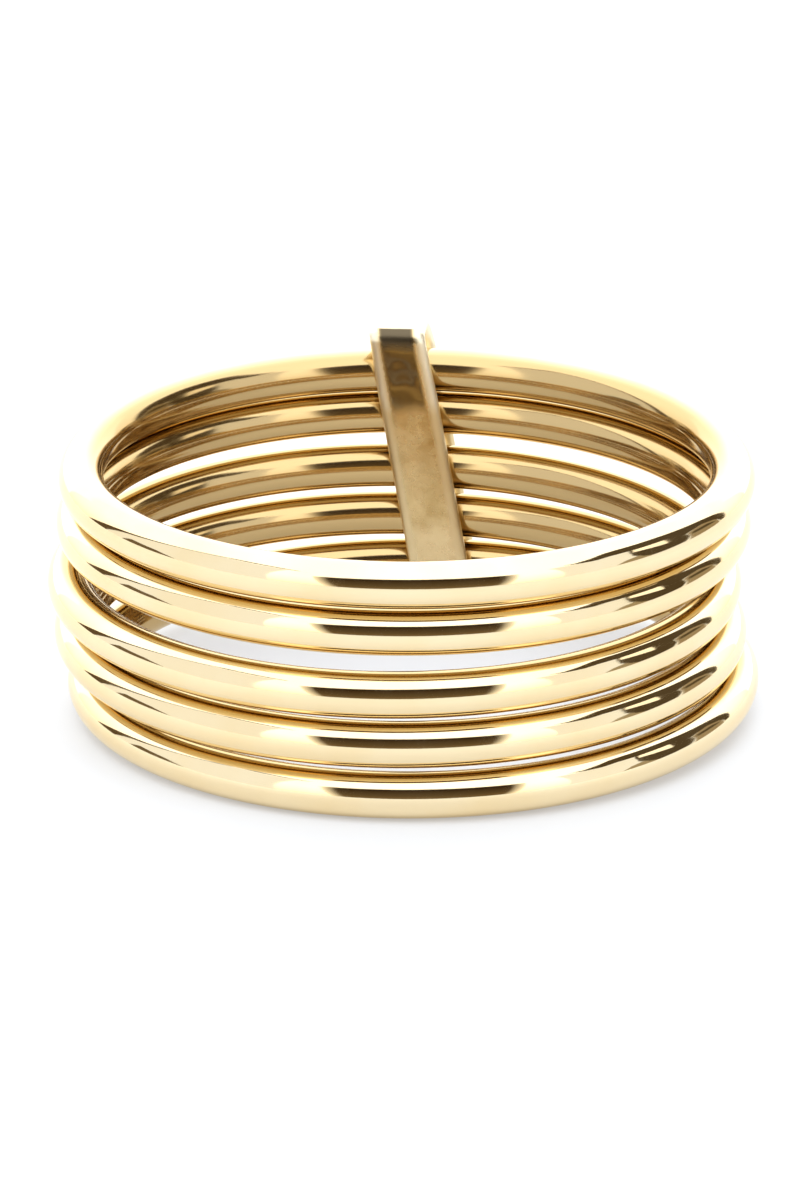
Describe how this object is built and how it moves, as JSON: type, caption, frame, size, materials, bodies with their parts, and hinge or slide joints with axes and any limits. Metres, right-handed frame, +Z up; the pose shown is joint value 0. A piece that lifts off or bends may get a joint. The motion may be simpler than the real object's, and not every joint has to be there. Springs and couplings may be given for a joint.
{
  "type": "multi-band ring",
  "caption": "Finger ring of loose parallel round-wire bands, all threaded through one closed flat-strip link at the back, with a clear round hole for the finger.",
  "frame": {"origin": "middle of the bounding box's base, on the surface the ring lies on", "axes": "+Z up and close to the finger axis, +Y towards the link, +X to the right seen from the front"},
  "size_m": [0.02, 0.0206, 0.0086],
  "materials": {
    "band_gold": "yellow gold, polished, with fine wear",
    "link_gold": "yellow gold, polished and then worn soft"
  },
  "bodies": {
    "link_and_bottom_band": {"link": "link_gold", "bottom_band": "band_gold"},
    "fourth_band": {"fourth_band": "band_gold"},
    "middle_band": {"middle_band": "band_gold"},
    "second_band": {"second_band": "band_gold"},
    "top_band": {"top_band": "band_gold"}
  },
  "joints": [
    {"name": "top_band_swing", "type": "hinge", "parent": "link_and_bottom_band", "child": "top_band", "pos_m": [0.00008, 0.00882, 0.00701], "axis": [-1, 0, 0], "range_deg": [0, 90]},
    {"name": "second_band_swing", "type": "hinge", "parent": "link_and_bottom_band", "child": "second_band", "pos_m": [-0.00001, 0.00894, 0.00566], "axis": [-1, 0, 0], "range_deg": [0, 67.5]},
    {"name": "middle_band_swing", "type": "hinge", "parent": "link_and_bottom_band", "child": "middle_band", "pos_m": [-0.00026, 0.0087, 0.00407], "axis": [-1, 0, 0], "range_deg": [0, 45]},
    {"name": "fourth_band_swing", "type": "hinge", "parent": "link_and_bottom_band", "child": "fourth_band", "pos_m": [-0.0001, 0.00869, 0.00258], "axis": [-1, 0, 0], "range_deg": [0, 22.5]}
  ],
  "couplings": [
    {"joint": "second_band_swing", "follows": "top_band_swing", "ratio": 0.75},
    {"joint": "middle_band_swing", "follows": "top_band_swing", "ratio": 0.5},
    {"joint": "fourth_band_swing", "follows": "top_band_swing", "ratio": 0.25}
  ]
}
